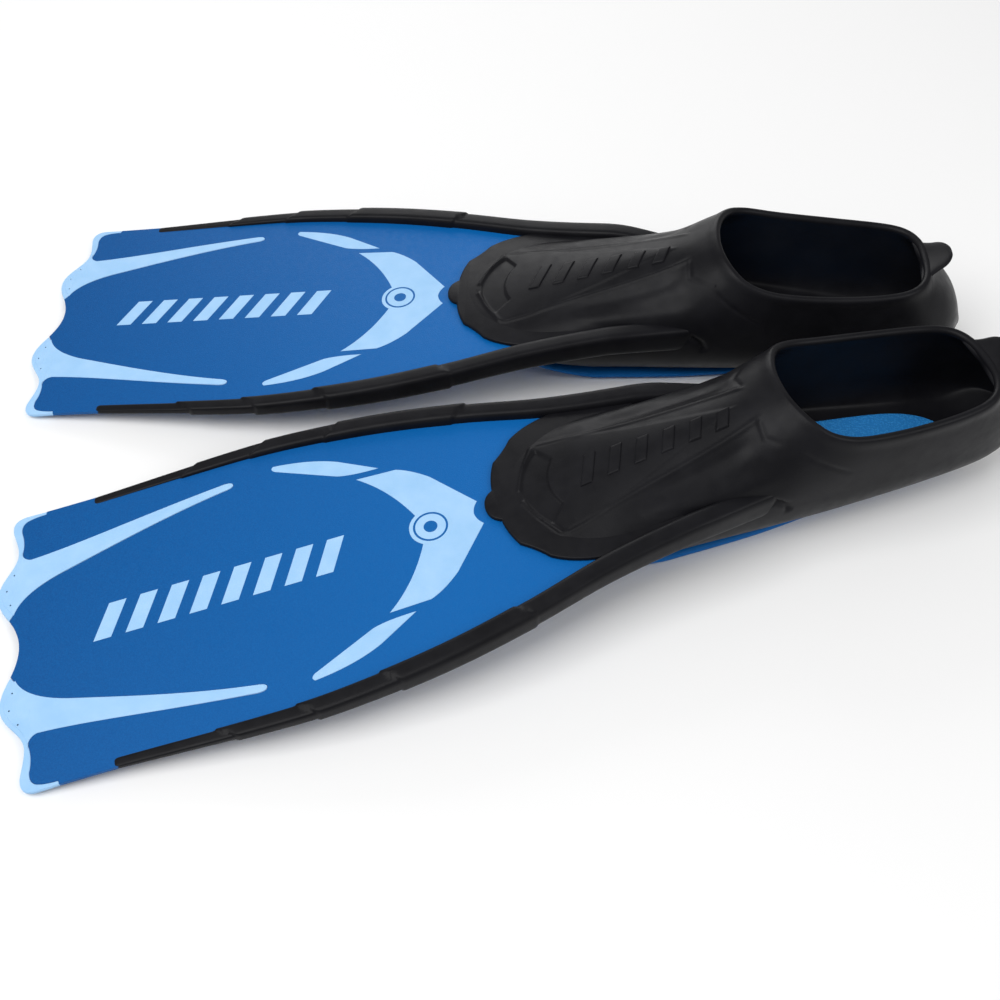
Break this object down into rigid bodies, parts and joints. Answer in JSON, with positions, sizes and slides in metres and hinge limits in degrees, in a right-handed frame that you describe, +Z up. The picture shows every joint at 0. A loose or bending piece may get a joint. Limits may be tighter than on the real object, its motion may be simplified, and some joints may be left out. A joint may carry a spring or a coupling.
{
  "type": "swim fins",
  "caption": "Full-foot swim fins with flexible blue blades, soft light-blue tip inserts, black rubber side rails and closed rubber foot pockets open at the heel.",
  "frame": {"origin": "middle of the floor space the pair covers, on the floor", "axes": "+Z up from the floor; +X from the blade tips towards the heels; +Y from the front fin towards the rear fin"},
  "size_m": [0.6672, 0.4674, 0.1002],
  "materials": {
    "blue_plastic": "fine speckled satin",
    "light_blue_rubber": "matte",
    "black_rubber": "satin",
    "blue_footbed": "fine pebbled"
  },
  "bodies": {
    "front_shoe": {"front_foot_pocket": "black_rubber", "front_blade_frame": "blue_plastic", "front_insole": "blue_footbed", "front_rail_root_left": "black_rubber", "front_rail_root_right": "black_rubber"},
    "front_flex_blade": {"front_blade": "blue_plastic", "front_rail_left": "black_rubber", "front_rail_right": "black_rubber", "front_tip_insert_left": "light_blue_rubber", "front_tip_insert_right": "light_blue_rubber", "front_chevron_insert": "light_blue_rubber", "front_dash_insert_left": "light_blue_rubber", "front_dash_insert_right": "light_blue_rubber"},
    "rear_shoe": {"rear_foot_pocket": "black_rubber", "rear_blade_frame": "blue_plastic", "rear_insole": "blue_footbed", "rear_rail_root_left": "black_rubber", "rear_rail_root_right": "black_rubber"},
    "rear_flex_blade": {"rear_blade": "blue_plastic", "rear_rail_left": "black_rubber", "rear_rail_right": "black_rubber", "rear_tip_insert_left": "light_blue_rubber", "rear_tip_insert_right": "light_blue_rubber", "rear_chevron_insert": "light_blue_rubber", "rear_dash_insert_left": "light_blue_rubber", "rear_dash_insert_right": "light_blue_rubber"}
  },
  "joints": [
    {"name": "front_blade_flex", "type": "hinge", "parent": "front_shoe", "child": "front_flex_blade", "pos_m": [-0.01136, -0.06881, 0.03743], "axis": [-0.2605, 0.9655, 0], "range_deg": [-25, 25], "stiffness_Nm_per_rad": 20},
    {"name": "rear_fin_lift", "type": "slide", "parent": "front_shoe", "child": "rear_shoe", "axis": [0, 0, 1], "range_m": [0, 0.25]},
    {"name": "rear_blade_flex", "type": "hinge", "parent": "rear_shoe", "child": "rear_flex_blade", "pos_m": [-0.03899, 0.12346, 0.03743], "axis": [0.0506, 0.9987, 0], "range_deg": [-25, 25], "stiffness_Nm_per_rad": 20}
  ]
}
